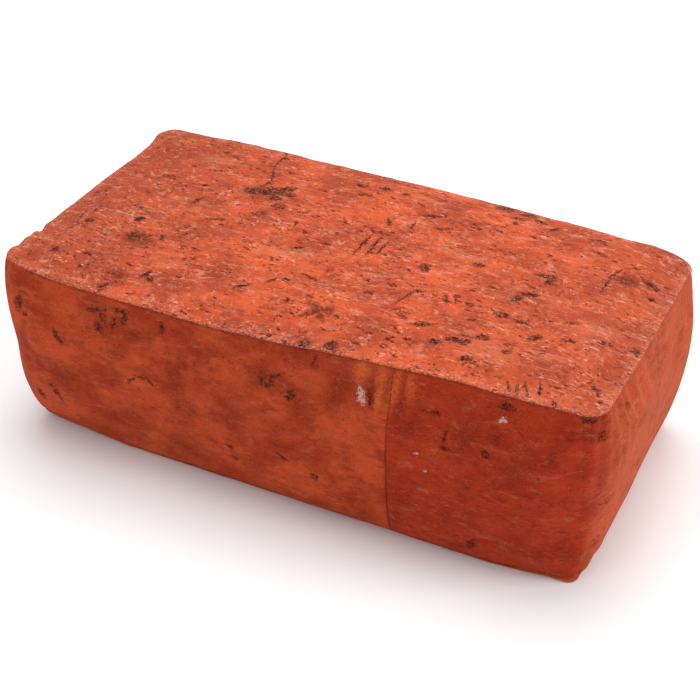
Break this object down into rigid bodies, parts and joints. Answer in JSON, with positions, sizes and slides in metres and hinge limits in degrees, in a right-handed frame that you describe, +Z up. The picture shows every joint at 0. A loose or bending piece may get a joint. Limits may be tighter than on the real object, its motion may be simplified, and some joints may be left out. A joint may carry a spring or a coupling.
{
  "type": "brick-shaped cushion",
  "caption": "Soft brick-shaped boxed cushion: a foam block in wadding inside a removable zipped cover of plush printed to look like fired clay.",
  "frame": {"origin": "middle of the flat underside, where the cushion rests", "axes": "+X along the length towards the right-hand end, +Y towards the back with the zip, +Z up"},
  "size_m": [0.4008, 0.2099, 0.125],
  "materials": {
    "foam": "open cell foam",
    "wadding": "loose fibre",
    "top_plush": "short matt plush with a printed fired-clay pattern",
    "side_plush": "short matt plush with a printed fired-clay pattern",
    "zip_tape": "woven tape",
    "zip_coil": "nylon coil",
    "zip_metal": "satin enamel on zinc",
    "thread": "spun polyester"
  },
  "bodies": {
    "cushion_cover": {"foam_core": "foam", "wadding_wrap": "wadding", "wadding_end_left": "wadding", "wadding_end_right": "wadding", "top_panel": "top_plush", "bottom_panel": "side_plush", "band_left": "side_plush", "band_right": "side_plush", "zip_strip_upper": "side_plush", "zip_strip_lower": "side_plush", "zip_tape_upper": "zip_tape", "zip_tape_lower": "zip_tape", "zip_coil_upper": "zip_coil", "zip_coil_lower": "zip_coil", "zip_stop_closed": "zip_metal", "zip_stop_open": "zip_metal", "top_seam_thread": "thread", "bottom_seam_thread": "thread", "front_join_thread": "thread", "rear_join_thread_left": "thread", "rear_join_thread_right": "thread", "zip_thread_upper": "thread", "zip_thread_lower": "thread"},
    "slider": {"zip_slider": "zip_metal"},
    "pull": {"zip_pull": "zip_metal"}
  },
  "joints": [
    {"name": "zip_slide", "type": "slide", "parent": "cushion_cover", "child": "slider", "axis": [-1, 0, 0], "range_m": [0, 0.2798]},
    {"name": "pull_hinge", "type": "hinge", "parent": "slider", "child": "pull", "pos_m": [0.1399, 0.10466, 0.06225], "axis": [0, -0.0611, -0.9981], "range_deg": [0, 170]}
  ]
}
